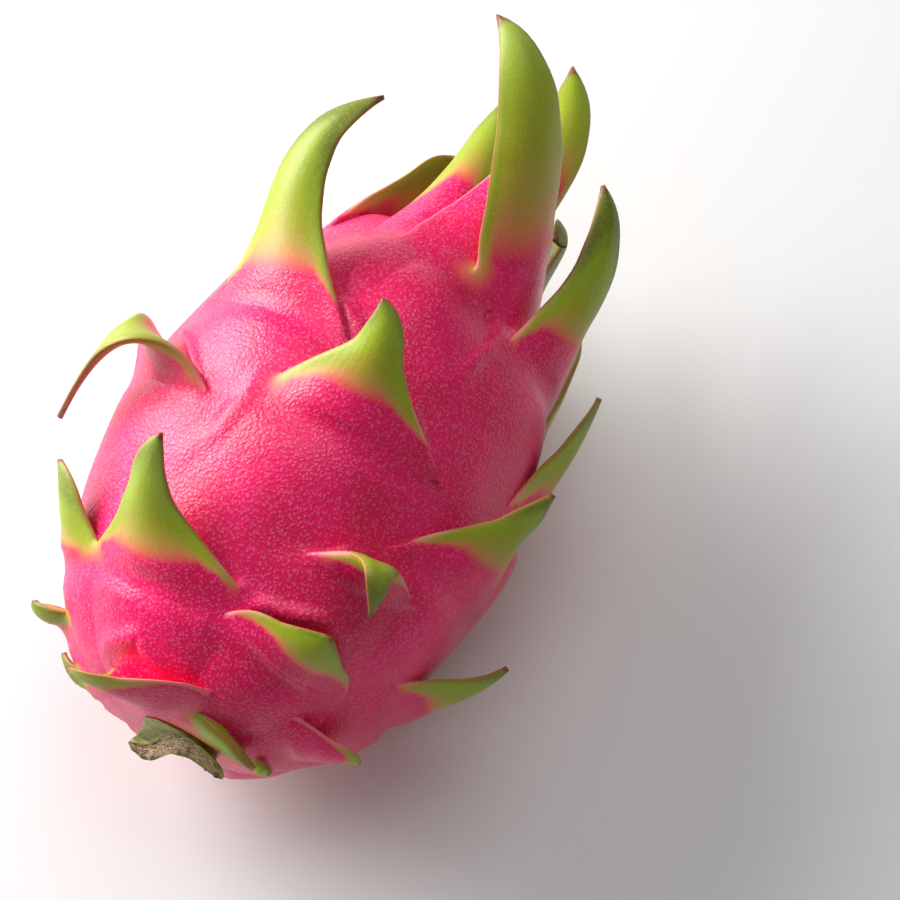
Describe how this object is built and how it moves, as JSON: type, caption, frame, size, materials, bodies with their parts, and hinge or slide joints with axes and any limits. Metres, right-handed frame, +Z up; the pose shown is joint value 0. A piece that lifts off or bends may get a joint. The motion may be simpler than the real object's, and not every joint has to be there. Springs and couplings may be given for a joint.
{
  "type": "dragon fruit",
  "caption": "Whole ripe dragon fruit lying on its side: egg-shaped body with leafy scales that rise to a crown, and a cut stub of stem at its base.",
  "frame": {"origin": "middle of the small flat spot of skin that the fruit rests on", "axes": "+X along the fruit from the cut stem to the crown, +Z up, out of the surface that it lies on"},
  "size_m": [0.1715, 0.1068, 0.1022],
  "materials": {
    "pink_skin": "waxy satin skin, bright pink, with scales that turn yellow and green towards their tips",
    "green_stem": "dull olive rind with a dry fibrous cut"
  },
  "bodies": {
    "root": {"fruit": "pink_skin", "stem_stub": "green_stem"}
  },
  "joints": []
}
